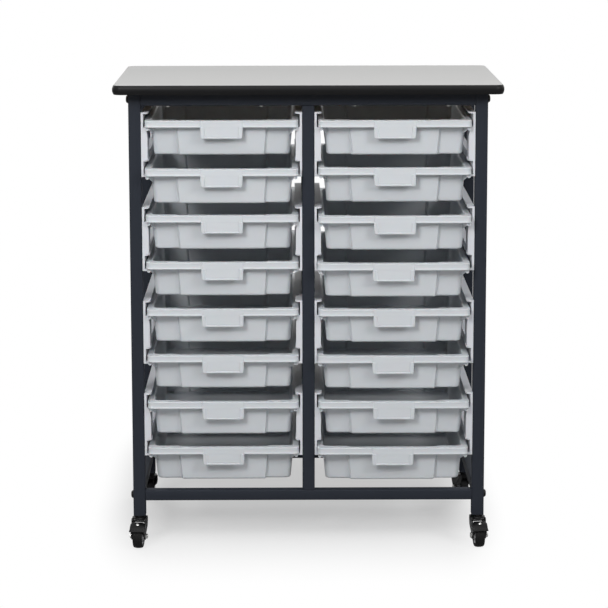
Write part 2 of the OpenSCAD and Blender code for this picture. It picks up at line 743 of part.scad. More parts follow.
// Sector of a plate that runs round the wheel, w wide, from angle a to angle b
module pedal_sector(w, a, b, n) {
    inner = wheel_r + brake_gap;
    translate([-w / 2, 0, 0]) rotate([90, 0, 90]) linear_extrude(w)
        polygon(concat(arc(-trail, wheel_r, inner + pedal_t, a, b, n), arc(-trail, wheel_r, inner, b, a, n)));
}

// Brake pedal: barrel on its pin between the cheeks, tongue, plate over the wheel, turned-up lip
module pedal() {
    inner_w = 2 * (cheek_x - slide_gap);
    r = wheel_r + brake_gap;
    translate([-inner_w / 2, 0, 0]) rotate([90, 0, 90]) linear_extrude(inner_w) union() {
        translate([pedal_y, pedal_z]) circle(r = pedal_barrel_r);
        polygon([[pedal_y - 0.5, pedal_z + pedal_barrel_r - 0.2], polar(100, r + pedal_t), polar(100, r),
            [pedal_y - 0.5, pedal_z - pedal_barrel_r + 0.4]]);
    }
    pedal_sector(inner_w, 99, 108, 2);
    pedal_sector(pedal_w, 107, 146, 8);
    translate([-pedal_w / 2, 0, 0]) rotate([90, 0, 90]) linear_extrude(pedal_w)
        polygon([polar(145, r), polar(145, r + pedal_t), polar(149, r + pedal_t + 0.9),
            polar(149.5, r + 1.2)]);
    translate([0, pedal_y, pedal_z]) rotate([0, 90, 0])
        cylinder(h = 2 * (cheek_x + fork_t) + 1, d = pedal_pin_dia, center = true);
}

// Places a caster piece; side is -1 left or +1 right, end is -1 front or +1 rear
module at_caster(side, end) {
    turn = end < 0 ? side * front_turn : 180 + rear_turn;
    translate([side * post_x, end < 0 ? post_front_y : post_rear_y, 0]) rotate([0, 0, turn]) children();
}

worktop_core();
worktop_laminate();
worktop_edge_band();
worktop_screws();
outer_post(-1, post_front_y);  // post_front_left
centre_post(post_front_y);  // post_front_centre
outer_post(1, post_front_y);  // post_front_right
outer_post(-1, post_rear_y);  // post_rear_left
centre_post(post_rear_y);  // post_rear_centre
outer_post(1, post_rear_y);  // post_rear_right
cross_rail(-1, top_rail_z, top_rail_h, true);  // rail_top_front
cross_rail(1, top_rail_z, top_rail_h, true);  // rail_top_rear
side_rail(-1, top_rail_z, top_rail_h);  // rail_top_left
side_rail(1, top_rail_z, top_rail_h);  // rail_top_right
cross_rail(-1, rail_z, rail, false);  // rail_bottom_front
cross_rail(1, rail_z, rail, false);  // rail_bottom_rear
side_rail(-1, rail_z, rail);  // rail_bottom_left
side_rail(1, rail_z, rail);  // rail_bottom_right
side_bolts();
rail_inserts();
runner_column(runner_faces[0][0], runner_faces[0][1]);  // runners_left_outer
runner_column(runner_faces[1][0], runner_faces[1][1]);  // runners_left_inner
runner_column(runner_faces[2][0], runner_faces[2][1]);  // runners_right_inner
runner_column(runner_faces[3][0], runner_faces[3][1]);  // runners_right_outer
runner_screws();
for (i = [0:levels - 1]) {
    placed_tray(0, i);
    placed_tray(1, i);
}
caster_stems();
corners = [["front_left", -1, -1], ["front_right", 1, -1], ["rear_left", -1, 1], ["rear_right", 1, 1]];
for (c = corners) {
    color(black) at_caster(c[1], c[2]) fork(c[2] < 0);
    color(steel) at_caster(c[1], c[2]) axle();
    color(runner_grey) at_caster(c[1], c[2]) hub();
    color(black) at_caster(c[1], c[2]) tyre();
}
color(black) at_caster(-1, -1) pedal();  // brake_pedal_left
color(black) at_caster(1, -1) pedal();  // brake_pedal_right
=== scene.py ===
"""Mobile bin rack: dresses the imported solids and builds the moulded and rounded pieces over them."""
import json
import math

import bmesh
import bpy
import numpy as np
from mathutils import Matrix, Vector


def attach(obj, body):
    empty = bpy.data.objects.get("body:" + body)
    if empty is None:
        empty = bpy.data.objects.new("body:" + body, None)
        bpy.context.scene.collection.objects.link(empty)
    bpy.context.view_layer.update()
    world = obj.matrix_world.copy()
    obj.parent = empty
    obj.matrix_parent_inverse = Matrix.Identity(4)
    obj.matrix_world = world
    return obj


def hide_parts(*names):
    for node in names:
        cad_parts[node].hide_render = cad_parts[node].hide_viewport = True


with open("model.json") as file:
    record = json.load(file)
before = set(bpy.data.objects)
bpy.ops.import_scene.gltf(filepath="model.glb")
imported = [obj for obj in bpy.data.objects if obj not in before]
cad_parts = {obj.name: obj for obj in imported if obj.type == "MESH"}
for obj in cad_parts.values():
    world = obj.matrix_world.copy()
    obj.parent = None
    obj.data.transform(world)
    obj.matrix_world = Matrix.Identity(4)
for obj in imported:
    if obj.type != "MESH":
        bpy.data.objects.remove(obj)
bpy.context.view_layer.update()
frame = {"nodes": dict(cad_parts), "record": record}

# A millimetre in metres, for the profiles below that are in millimetres
MM = 0.001

# Worktop and frame, in metres, the same as the solids
TOP_W = 0.790
TOP_D = 0.470
TOP_Z = 0.966
BOARD_T = 0.019
TOP_R = 0.020
BAND_T = 0.003
FRONT_Y = -0.197
FRAME_D = 0.366
FRAME_W = 0.729
POST = 0.0254
POST_X = FRAME_W / 2 - POST / 2
POST_FRONT_Y = FRONT_Y + POST / 2
POST_REAR_Y = FRONT_Y + FRAME_D - POST / 2
BOTTOM_RAIL_Z = 0.109
TOP_RAIL_Z = 0.9343

# Places of the trays, in metres: the middle of a bay, the height of the first rim and the step down to the
# next, how far a closed tray's rim stands before the posts, how far each tray is drawn out, and how far
# those on the right sit off the middle of their bay
BAY_X = 0.1759
RIM_Z = 0.8927
TRAY_PITCH = 0.097
CLOSED_OVER = 0.0095
LEFT_OPEN = [0, 0.017, 0.001, 0, 0.001, 0, 0.0035, 0.0015]
RIGHT_OPEN = [0.003, 0.004, 0.017, 0.018, 0.008, 0.012, 0.006, 0.008]
RIGHT_SHIFT = [0, 0, 0, -0.0023, 0, -0.0023, 0, -0.0023]

# Tray moulding, in metres: its size over the rim, the thickness of wall and rim, the radius of the rim's
# corners, how far the body is set in under the rim and how much more at its foot, and the body's radii
TRAY_W = 0.312
TRAY_D = 0.427
TRAY_H = 0.0725
TRAY_WALL = 0.0022
RIM_T = 0.0024
RIM_R = 0.010
SIDE_SET = 0.011
FRONT_SET = 0.019
REAR_SET = 0.014
SIDE_DRAFT = 0.0065
END_DRAFT = 0.011
BODY_R = 0.012
FLOOR_R = 0.004
# Share of an inset by which the radius of the body's corners shrinks
TURN_SHARE = 0.6
# Radius of the roll from the inner wall onto the rim, and of the rim's outer edge
ROLL_R = 0.0026
RIM_EDGE = 0.0022
# Rows of the wall: how far the lowest one stays off the floor's curve, how far the highest one inside lies
# under the rim's top, and the highest one outside under the rim's lower face
ROW_GAP = 0.004
INSIDE_DROP = 0.0045
OUTSIDE_DROP = 0.0008
# Rows under the rim: their inset from the wall, below nought because they lie outside it, and the label's
# place and height at the first one
UNDER_OUT = [-0.0060, -0.0035, -0.0014, -0.0005]
UNDER_LABEL = (0.0070, -0.0028)
# Raised panel: half its width at the rim, how much less at its foot, and how far it stands out at both
PANEL_HALF = 0.091
PANEL_TAPER = 0.006
PANEL_TOP = 0.0065
PANEL_LOW = 0.0085
# Share of the run from the panel to the corner that the panel's flank takes, and the power of its curve
FLANK_SHARE = 0.11
FLANK_POWER = 1.5

# Lip: its height and its thickness in metres, and its face in millimetres. The face lies a little behind
# its two edges, with a bead along the lower one. Each row: inset and height, then both across the label.
LIP_H = 0.0145
LIP_T = 0.002
LIP_FACE = [[0.35, -3.0, 0.0, -2.6], [0.5, -3.8, 0.0, -4.2], [0.5, -10.7, 0.0, -6.0],
            [0.35, -11.3, 0.0, -8.0], [0.05, -11.8, 0.0, -10.0], [-0.15, -12.4, 0.0, -11.6],
            [-0.2, -13.1, 0.0, -12.8], [-0.1, -13.8, 0.0, -13.6], [0.2, -14.3, 0.0, -14.2],
            [0.7, -14.5, 0.1, -14.5], [1.5, -14.5, 1.0, -14.5], [1.9, -14.3, 1.9, -14.4]]
# Back of the lip, in metres, going up: inset past the lip's thickness, height, and height across the label
LIP_BACK = [[0, -0.0138, -0.0140], [0, -0.0090, -0.0100], [0, -0.0042, -0.0060],
            [0.0002, -0.0031, -0.0042], [0.0006, -0.0026, -0.0034], [0.0012, -RIM_T, -0.0030]]

# Label in the lip: half its width, half the width of the step at its sides, how far it lies behind the lip,
# the radius of its upper edge, and the depth to which the rim sinks before it, from where and over what run
LABEL_HALF = 0.0422
LABEL_STEP = 0.0003
LABEL_IN = 0.0016
LABEL_EDGE = 0.0014
SINK = 0.0004
SINK_FROM = 0.0102
SINK_RUN = 0.0082

# Label handle under the lip, in metres: its foot, half its width, how much less at its foot, the height of
# its lower border, the radius of its lower corners and of its lower edge, its thickness behind the recess,
# and half the step at the recess's foot
HANDLE_H = 0.0375
HOLDER_HALF = 0.044
HOLDER_TAPER = 0.0020
HOLDER_LOW = 0.003
HOLDER_TURN = 0.004
HOLDER_EDGE = 0.0014
HOLDER_T = 0.0020
HOLDER_STEP = 0.0003
# Depth that keeps the handle's recess clear of the label's face where the two overlap
HOLDER_CLEAR = 0.00002
# Shares of the half width: where the side border begins, half the slope up to it, where the side turns
HOLDER_IN = 0.805
HOLDER_SLOPE = 0.007
HOLDER_ROUND = 0.955

# Stop lug under each front corner of the rim, in metres: its place, width and drop, half its wall, half its
# depth, how far its middle and the middle of its thin back lie behind the rim's front, half the back's
# thickness, and the back's share of the lug's width
LUG_SET = 0.002
LUG_W = 0.0075
LUG_DROP = 0.007
LUG_HALF_WALL = 0.0007
LUG_HALF_D = 0.0025
LUG_Y = 0.0067
LUG_BACK_Y = 0.0073
LUG_BACK_HALF_T = 0.0006
LUG_BACK_SHARE = 0.97
# Web from the lug to the body's corner: its two ends behind the front, its inset at the body, its lap over
# the lug, half its thickness, how far its foot lies under the lug's middle and how much lower at the body,
# and its lap into the rim
WEB_NEAR_Y = 0.0074
WEB_FAR_Y = 0.0276
WEB_FAR_SET = 0.0174
WEB_LAP = 0.0004
WEB_HALF_T = 0.0009
WEB_FOOT = 0.0008
WEB_FALL = 0.0118
WEB_INTO_RIM = 0.0002

# Casters, in metres: the wheel's trail, radius and width, the hub's radius, the heights of the posts' feet
# and of the fork's crown, the inner face of the fork's cheek off the middle and the play beside it, then the
# turns about the stem in radians, and the side and end at which each caster stands
TRAIL = 0.022
WHEEL_R = 0.025
WHEEL_W = 0.020
HUB_R = 0.017
FOOT_Z = 0.0657
CROWN_Z = FOOT_Z - 0.012
CHEEK_X = 0.0122
SLIDE_GAP = 0.0003
FRONT_TURN = math.radians(5)
REAR_TURN = math.radians(200)
CORNERS = {"front_left": (-1, -1), "front_right": (1, -1), "rear_left": (-1, 1), "rear_right": (1, 1)}
AXLE_AT = np.array([0.0, -TRAIL, WHEEL_R])
# Tyre grooves: their place off the middle, their width and their depth
GROOVE_AT = 0.0052
GROOVE_W = 0.0005
GROOVE_DEEP = 0.0004
# Hub: the radii of its section from the bore out, in millimetres, and how deep each point lies, in metres,
# the first three in the boss, behind the cheek of the fork, and the others behind the side of the wheel
HUB_RADII = [3.2, 6.4, 7.0, 7.6, 9.0, 12.0, 13.4, 14.0, 14.6, 16.6, 17.0]
BOSS_IN = [0, 0, 0.0005]
WEB_IN = [0.0042, 0.0050, 0.0050, 0.0042, 0.0012, 0.0007, 0.0007, 0.0011]
# Brake pedal: its gap to the tyre, the thickness of its plate, its pivot, and its barrel and pin
BRAKE_GAP = 0.003
PEDAL_T = 0.0024
PEDAL_PIVOT = np.array([0.0, -0.0200, CROWN_Z + 0.0036])
BARREL_R = 0.0030
PIN_R = 0.0020
PIN_OUT = 0.0029
PIN_EDGE = 0.0004
# The plate's widths at angles round the wheel, in degrees from the rear over the top, the angle from which
# it bends up to a lip, how far it rises, and its narrow tongue, which lies a hair deeper
PEDAL_ANGLES = [106, 110, 138, 147, 149.5]
PEDAL_WIDTHS = [0.0285, 0.0308, 0.0310, 0.0328, 0.0322]
PEDAL_BEND = 142
PEDAL_RISE = 0.0010
TONGUE_ANGLES = (97, 108)
TONGUE_W = 0.0236
TONGUE_SINK = 0.00002
# Rivet on the plate: its angle, and the radius and height of its profile, in millimetres
RIVET_ANGLE = 114
RIVET_PROFILE = [[0, 1.6], [0.9, 1.55], [1.8, 1.35], [2.6, 0.95], [3.2, 0.35], [3.4, 0.0], [3.2, -0.3],
                 [0, -0.3]]

# Side bolts: the radius and height of the head's profile in millimetres, with the socket in its second to
# fourth rows, half the socket's width across its flats, and the shank's radius, length and lap over the head
BOLT_PROFILE = [[0, 1.6], [3.0, 1.6], [3.1, 1.6], [3.1, 4.7], [3.6, 5.0], [5.0, 4.75], [6.6, 3.9],
                [7.8, 2.5], [8.4, 1.1], [8.5, 0.4], [8.3, 0.0], [0, 0.0]]
SOCKET_HALF = 0.0027
SHANK_R = 0.003
SHANK_L = 0.0371
SHANK_LAP = 0.0002

# Mesh making: points nearer than the first are merged and edges shorter than the second dropped, in metres
MERGE_DIST = 2e-6
SHORT_EDGE = 1e-6
# Angles on the solids, in degrees, below which faces are joined, and above which an edge is shaded sharp
# and is rounded over
FLAT_ANGLE = 0.6
SHADE_ANGLE = 30
BEVEL_ANGLE = 38
# Width of the rounding by the first word of a node's name, in metres
EDGE_WIDTH = {"post": 0.0003, "rail": 0.0003, "runners": 0.0007, "fork": 0.0005, "axle": 0.0004,
              "caster": 0.0008}

# Lamps: azimuth to the right of the front and elevation in degrees, distance and size in metres, and watts
LAMPS = {
    "key": dict(azimuth=-27, elevation=30, far=3.1, size=0.8, power=43.0),
    "fill": dict(azimuth=45, elevation=30, far=3.1, size=0.9, power=27.0),
    "front": dict(azimuth=0, elevation=58, far=3.2, size=1.8, power=22.0),
    "top": dict(azimuth=0, elevation=82, far=5.0, size=2.4, power=6.0),
    "back_left": dict(azimuth=-138, elevation=34, far=3.6, size=1.6, power=26.0),
    "back_right": dict(azimuth=138, elevation=34, far=3.6, size=1.6, power=30.0),
}
# The point that the lamps face, in metres, and the strength of the light from all around
LAMP_AIM = (0, 0, 0.5)
AMBIENT = 0.10
# Floor: half its side, its grey, the rectangle under the rack from which it fades to white and the width of
# the fade on each axis, in metres, and how white it is made for the lens before the fade
FLOOR_HALF = 40.0
FLOOR_GREY = (0.58, 0.58, 0.58, 1)
FADE_MIDDLE = (-0.02, 0.29, 0.0)
FADE_HALF_SIDES = (0.31, 0.14, 0.0)
FADE_WIDTHS = (0.15, 0.64, 1.0)
FADE_START = 0.42

# Camera: turns in radians, place in metres, focal length, row of its axis and side of the picture in pixels,
# width of the sensor in millimetres, and the far end of its view in metres
PITCH, YAW, ROLL = 0.16087, 0.00621, -0.00146
CAMERA_AT = (-0.03782, -4.85066, 1.40148)
FOCAL_PIXELS = 2308.62
AXIS_ROW = 240.0
PICTURE = 608
SENSOR = 36.0
CLIP_END = 200.0


def smooth_step(low, high, value):
    """0 below low, 1 above high, and 3t^2 - 2t^3 between them."""
    t = np.clip((value - low) / (high - low), 0.0, 1.0)
    return t * t * (3 - 2 * t)


def squarer(wave, power):
    """A sine or cosine drawn towards a square wave: sign(w) |w|^power."""
    return np.sign(wave) * np.abs(wave) ** power


# Meshes

def ring_quads(count, around, closed_path):
    """Quads between each ring and the next, round the ring, and back to the first on a closed path."""
    k = np.arange(count if closed_path else count - 1)[:, None]
    i = np.arange(around)[None, :]
    j = (i + 1) % around
    after = (k + 1) % count
    here = k * around
    there = after * around
    return np.stack([here + i, here + j, there + j, there + i], -1).reshape(-1, 4)


def shade(mesh, sharp):
    """Smooth shading, broken at edges sharper than sharp degrees."""
    mesh.polygons.foreach_set("use_smooth", np.ones(len(mesh.polygons), bool))
    mesh.set_sharp_from_angle(angle=math.radians(sharp))


def seat(name, mesh, body, slot, replaced):
    """Puts a finished mesh in the scene and says what it rides on, stands for and is made of."""
    obj = bpy.data.objects.new(name, mesh)
    bpy.context.scene.collection.objects.link(obj)
    mesh.materials.clear()
    mesh.materials.append(MATERIAL_OF[slot])
    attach(obj, body)
    if replaced:
        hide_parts(*replaced)
    return obj


def piece(name, shells, body, slot, replaced=(), sharp=40):
    """One object from shells of rings, with its poles and seams merged.

    A shell is an array of ring, point and x y z, and whether its path closes.
    """
    points = []
    faces = []
    start = 0
    for rings, closed_path in shells:
        count, around = rings.shape[:2]
        points.append(rings.reshape(-1, 3))
        faces.append(ring_quads(count, around, closed_path) + start)
        start += count * around
    mesh = bpy.data.meshes.new(name)
    mesh.from_pydata(np.concatenate(points).tolist(), [], np.concatenate(faces).tolist())
    merged = bmesh.new()
    merged.from_mesh(mesh)
    bmesh.ops.remove_doubles(merged, verts=merged.verts, dist=MERGE_DIST)
    bmesh.ops.dissolve_degenerate(merged, edges=merged.edges, dist=SHORT_EDGE)
    bmesh.ops.recalc_face_normals(merged, faces=merged.faces)
    merged.to_mesh(mesh)
    merged.free()
    shade(mesh, sharp)
    seat(name, mesh, body, slot, replaced)


def softened(node, width):
    """A copy of a solid with its flat faces joined and its sharp edges rounded over by width."""
    mesh = frame["nodes"][node].data.copy()
    joined = bmesh.new()
    joined.from_mesh(mesh)
    bmesh.ops.remove_doubles(joined, verts=joined.verts, dist=MERGE_DIST)
    bmesh.ops.recalc_face_normals(joined, faces=joined.faces)
    bmesh.ops.dissolve_limit(joined, angle_limit=math.radians(FLAT_ANGLE), verts=joined.verts,
                             edges=joined.edges)
    joined.to_mesh(mesh)
    joined.free()
    shade(mesh, SHADE_ANGLE)
    obj = seat(node + "_finished", mesh, BODY_OF[node], SLOT_OF[node], (node,))
    bevel = obj.modifiers.new("edges", "BEVEL")
    bevel.width = width
    bevel.segments = 2
    bevel.limit_method = "ANGLE"
    bevel.angle_limit = math.radians(BEVEL_ANGLE)
    bevel.harden_normals = True


def to_pole(ring, shares):
    """Copies of a ring drawn in towards its own middle to these shares of its size."""
    middle = ring.mean(axis=0)
    return middle + (ring - middle)[None] * np.array(shares)[:, None, None]


def capped(rings, shares):
    """Rings closed at both ends by drawn-in copies of the end rings; shares run from the pole outwards."""
    return np.concatenate([to_pole(rings[0], shares), rings, to_pole(rings[-1], shares[::-1])])


def revolved(radius, along, around):
    """Rings of a turned shape: radius and place along the axis, axis on X."""
    turn = np.linspace(0, 2 * np.pi, around, endpoint=False)[None, :]
    r = np.asarray(radius)[:, None]
    a = np.asarray(along)[:, None] + 0 * turn
    return np.stack([a, r * np.cos(turn), r * np.sin(turn)], -1)


# Materials

def new_group(name, inputs, outputs):
    """An empty shader node group with named inputs, each with its kind of socket, and float outputs."""
    group = bpy.data.node_groups.new(name, "ShaderNodeTree")
    for label, kind in inputs.items():
        group.interface.new_socket(name=label, in_out="INPUT", socket_type=kind)
    for label in outputs:
        group.interface.new_socket(name=label, in_out="OUTPUT", socket_type="NodeSocketFloat")
    return group, group.nodes.new("NodeGroupInput"), group.nodes.new("NodeGroupOutput")


def feed(tree, target, value):
    """Sets a socket to a number, or links another socket to it."""
    if isinstance(value, (int, float)):
        target.default_value = value
    else:
        tree.links.new(value, target)


def noise(tree, vector, scale, detail, roughness=0.5):
    """A noise node fed by vector, with its scale from a socket or a number."""
    node = tree.nodes.new("ShaderNodeTexNoise")
    tree.links.new(vector, node.inputs["Vector"])
    feed(tree, node.inputs["Scale"], scale)
    node.inputs["Detail"].default_value = detail
    node.inputs["Roughness"].default_value = roughness
    return node.outputs["Fac"]


def math_node(tree, operation, a, b):
    """One Math node on two sockets or numbers."""
    node = tree.nodes.new("ShaderNodeMath")
    node.operation = operation
    feed(tree, node.inputs[0], a)
    feed(tree, node.inputs[1], b)
    return node.outputs[0]


def vector_node(tree, operation, vector, numbers=(0.0, 0.0, 0.0)):
    """One Vector Math node on a vector and, where the operation takes two, three numbers."""
    node = tree.nodes.new("ShaderNodeVectorMath")
    node.operation = operation
    tree.links.new(vector, node.inputs[0])
    node.inputs[1].default_value = numbers
    return node.outputs["Value" if operation == "LENGTH" else "Vector"]


def map_range(tree, value, ends):
    """A Map Range node on a value, with the ends of its ranges by the names of their sockets."""
    node = tree.nodes.new("ShaderNodeMapRange")
    for label, end in ends.items():
        node.inputs[label].default_value = end
    tree.links.new(value, node.inputs["Value"])
    return node


def make_grain():
    """Grain of a coated or moulded skin: fine bumps, and a broad tone that drifts over the piece."""
    group, start, end = new_group(
        "skin_grain", {"Vector": "NodeSocketVector", "Fine": "NodeSocketFloat", "Broad": "NodeSocketFloat"},
        ["Height", "Tone"])
    vector = start.outputs["Vector"]
    fine = noise(group, vector, start.outputs["Fine"], detail=2.0)
    broad = noise(group, vector, start.outputs["Broad"], detail=4.0, roughness=0.6)
    broad_share = 0.7
    mixed = math_node(group, "ADD", math_node(group, "MULTIPLY", broad, broad_share),
                      math_node(group, "MULTIPLY", fine, 1 - broad_share))
    group.links.new(fine, end.inputs["Height"])
    group.links.new(mixed, end.inputs["Tone"])
    return group


def make_scuff():
    """Faint handling marks: long thin streaks that thin out over the surface."""
    group, start, end = new_group(
        "fine_scuffs", {"Vector": "NodeSocketVector", "Amount": "NodeSocketFloat"}, ["Mask"])
    vector = start.outputs["Vector"]
    lengthways = vector_node(group, "MULTIPLY", vector, (420.0, 36.0, 420.0))
    streak = noise(group, lengthways, 1.0, detail=3.0, roughness=0.7)
    patch = noise(group, vector, 9.0, detail=2.0)
    edge = map_range(group, streak, {"From Min": 0.62, "From Max": 0.78})
    kept = math_node(group, "MULTIPLY", edge.outputs["Result"], patch)
    group.links.new(math_node(group, "MULTIPLY", kept, start.outputs["Amount"]), end.inputs["Mask"])
    return group


def linear_colour(levels):
    """Linear colour from sRGB levels of 0 to 255."""
    c = np.array(levels) / 255
    linear = np.where(c <= 0.04045, c / 12.92, ((c + 0.055) / 1.055) ** 2.4)
    return [float(v) for v in linear]


def finish(name, levels, drift, rough, rough_drift, fine, broad, depth, scuff=0.0, metallic=0.0, coat=0.0,
           see_in=0.0, specular=0.5):
    """A material whose colour, roughness and bump all drift with the same grain.

    levels is its colour in sRGB, and drift the share by which it goes up and down. fine and broad are the
    scales of the grain, depth is the height of its bumps in metres, and see_in how much light enters it.
    """
    material = bpy.data.materials.new(name)
    material.use_nodes = True
    tree = material.node_tree
    shader = tree.nodes["Principled BSDF"]
    place = tree.nodes.new("ShaderNodeTexCoord").outputs["Object"]
    grain = tree.nodes.new("ShaderNodeGroup")
    grain.node_tree = GRAIN
    grain.inputs["Fine"].default_value = fine
    grain.inputs["Broad"].default_value = broad
    tree.links.new(place, grain.inputs["Vector"])
    scuffs = tree.nodes.new("ShaderNodeGroup")
    scuffs.node_tree = SCUFF
    scuffs.inputs["Amount"].default_value = scuff
    tree.links.new(place, scuffs.inputs["Vector"])
    # a Mix node has sockets of one name for each kind of value, so those for colour go by their number
    tint = tree.nodes.new("ShaderNodeMix")
    tint.data_type = "RGBA"
    colour = linear_colour(levels)
    tint.inputs[6].default_value = [c * (1 - drift) for c in colour] + [1.0]
    tint.inputs[7].default_value = [min(c * (1 + drift), 1.0) for c in colour] + [1.0]
    tree.links.new(grain.outputs["Tone"], tint.inputs["Factor"])
    tree.links.new(tint.outputs[2], shader.inputs["Base Color"])
    level = map_range(tree, grain.outputs["Tone"],
                      {"From Min": 0.3, "From Max": 0.7, "To Min": max(rough - rough_drift, 0.02),
                       "To Max": rough + rough_drift})
    tree.links.new(math_node(tree, "ADD", level.outputs["Result"], scuffs.outputs["Mask"]),
                   shader.inputs["Roughness"])
    bump = tree.nodes.new("ShaderNodeBump")
    bump.inputs["Strength"].default_value = 0.35
    bump.inputs["Distance"].default_value = depth
    tree.links.new(grain.outputs["Height"], bump.inputs["Height"])
    tree.links.new(bump.outputs["Normal"], shader.inputs["Normal"])
    shader.inputs["Metallic"].default_value = metallic
    shader.inputs["Specular IOR Level"].default_value = specular
    shader.inputs["Coat Weight"].default_value = coat
    shader.inputs["Coat Roughness"].default_value = 0.25
    shader.inputs["Subsurface Weight"].default_value = see_in
    shader.inputs["Subsurface Scale"].default_value = 0.002
    return material


GRAIN = make_grain()
SCUFF = make_scuff()
# The material of each slot
MATERIAL_OF = {
    "frame_paint": finish("frame_powder_coat", levels=(39, 43, 51), drift=0.10, rough=0.58,
                          rough_drift=0.05, fine=1400, broad=18, depth=0.00006, scuff=0.15, specular=0.15),
    "laminate": finish("worktop_laminate", levels=(202, 202, 201), drift=0.02, rough=0.58, rough_drift=0.04,
                       fine=2600, broad=30, depth=0.00002, scuff=0.12, specular=0.10),
    "edge_band": finish("edge_band_black", levels=(20, 20, 21), drift=0.08, rough=0.42, rough_drift=0.05,
                        fine=1800, broad=20, depth=0.00003, scuff=0.1, specular=0.14),
    "board": finish("particle_board", levels=(176, 152, 118), drift=0.30, rough=0.85, rough_drift=0.05,
                    fine=420, broad=60, depth=0.0002),
    "tray_plastic": finish("tray_polypropylene", levels=(207, 211, 215), drift=0.015, rough=0.40,
                           rough_drift=0.05, fine=2200, broad=12, depth=0.00003, scuff=0.2, see_in=0.06,
                           specular=0.4),
    "runner_plastic": finish("runner_plastic", levels=(212, 214, 219), drift=0.02, rough=0.42,
                             rough_drift=0.05, fine=1900, broad=16, depth=0.00003, see_in=0.05,
                             specular=0.4),
    "zinc_steel": finish("zinc_plated_steel", levels=(190, 190, 188), drift=0.08, rough=0.30,
                         rough_drift=0.08, fine=1600, broad=60, depth=0.00003, metallic=1.0),
    "black_steel": finish("black_painted_steel", levels=(15, 15, 16), drift=0.15, rough=0.30,
                          rough_drift=0.08, fine=1500, broad=40, depth=0.00005, coat=0.05, specular=0.16),
    "hub_plastic": finish("hub_nylon", levels=(178, 178, 180), drift=0.04, rough=0.45, rough_drift=0.06,
                          fine=1800, broad=40, depth=0.00004),
    "tyre_rubber": finish("tyre_rubber", levels=(21, 21, 21), drift=0.20, rough=0.62, rough_drift=0.08,
                          fine=1300, broad=70, depth=0.00008, scuff=0.3, specular=0.14),
}
SLOT_OF = {row["node"]: row["material_slot"] for row in frame["record"]["subparts"]}
BODY_OF = {node: body for body, group in frame["record"]["behaviour"]["bodies"].items() for node in group}

for node, obj in frame["nodes"].items():
    for held in obj.material_slots:
        held.material = MATERIAL_OF[SLOT_OF[node]]


# Trays

def ring_plan(front, side_count=15, turn_count=9):
    """Points round a rounded rectangle: place on the inner rectangle, then outward direction.

    front holds the steps of the front run from -1 to 1; the rear run mirrors it.
    """
    turn = np.radians(np.linspace(0, 90, turn_count))[1:-1]
    side = np.linspace(-1, 1, side_count)
    one_f = np.ones_like(front)
    one_s = np.ones_like(side)
    one_t = np.ones_like(turn)
    gx = [front, one_t, one_s, one_t, -front, -one_t, -one_s, -one_t]
    gy = [-one_f, -one_t, side, one_t, one_f, one_t, -side, -one_t]
    nx = [0 * front, np.sin(turn), one_s, np.cos(turn), 0 * front, -np.sin(turn), -one_s, -np.cos(turn)]
    ny = [-one_f, -np.cos(turn), 0 * side, np.sin(turn), one_f, np.cos(turn), 0 * side, -np.sin(turn)]
    return [np.concatenate(v)[None, :] for v in (gx, gy, nx, ny)]


def front_steps():
    """Steps along the front run: 0 to 0.5 spans the panel's half width, 0.5 to 1 goes on to the corner.

    They lie close together at the label's edges and on the panel's flank. The panel's are given in metres
    from the middle, and those beyond it as shares of the run to the corner.
    """
    label = [0.038, LABEL_HALF - LABEL_STEP, LABEL_HALF + LABEL_STEP, 0.046]
    panel = np.concatenate([np.linspace(0, 0.034, 5), label, np.linspace(0.053, 0.088, 6)]) / PANEL_HALF
    flank = np.linspace(0.02, FLANK_SHARE, 6)
    beyond = np.concatenate([[0, 0.004], flank, [0.15, 0.24, 0.4, 0.6, 0.8, 1.0]])
    half = np.concatenate([panel, 1 + beyond]) / 2
    return np.concatenate([-half[::-1], half[1:]])


# Columns of a station: inset at the sides, front and rear, corner radius, height, how far the end panels
# stand out, the panel's half width, and across the label its distance behind the rim's front and its height
SIDE_IN, FRONT_IN, REAR_IN, TURN_R, LEVEL, PANEL_OUT, PANEL_X, LABEL_Y, LABEL_Z = range(9)


def wall_rows(height, skin, extra, radius):
    """Stations of the wall plane: the draft leans it in as t = depth / tray height, skin is the wall taken
    off, and extra a further inset, by a share of which the corner radius shrinks."""
    t = -height / TRAY_H
    blank = np.full_like(t, np.nan)
    return np.stack([SIDE_SET + SIDE_DRAFT * t + skin + extra, FRONT_SET + END_DRAFT * t + skin + extra,
                     REAR_SET + END_DRAFT * t + skin + extra, radius - TURN_SHARE * extra, height + 0 * t,
                     PANEL_TOP + (PANEL_LOW - PANEL_TOP) * t, PANEL_HALF - PANEL_TAPER * t - skin / 2,
                     blank, blank], -1)


def rim_rows(inset, height, label_in, label_height):
    """Stations round the rim: one inset all round, no panel, and the label set back by its own inset."""
    rows = np.full((len(inset), LABEL_Z + 1), np.nan)
    rows[:, SIDE_IN:TURN_R] = inset[:, None]
    rows[:, TURN_R] = RIM_R - inset
    rows[:, LEVEL] = height
    rows[:, PANEL_OUT] = 0
    rows[:, PANEL_X] = PANEL_HALF
    rows[:, LABEL_Y] = LABEL_IN + label_in
    rows[:, LABEL_Z] = label_height
    return rows


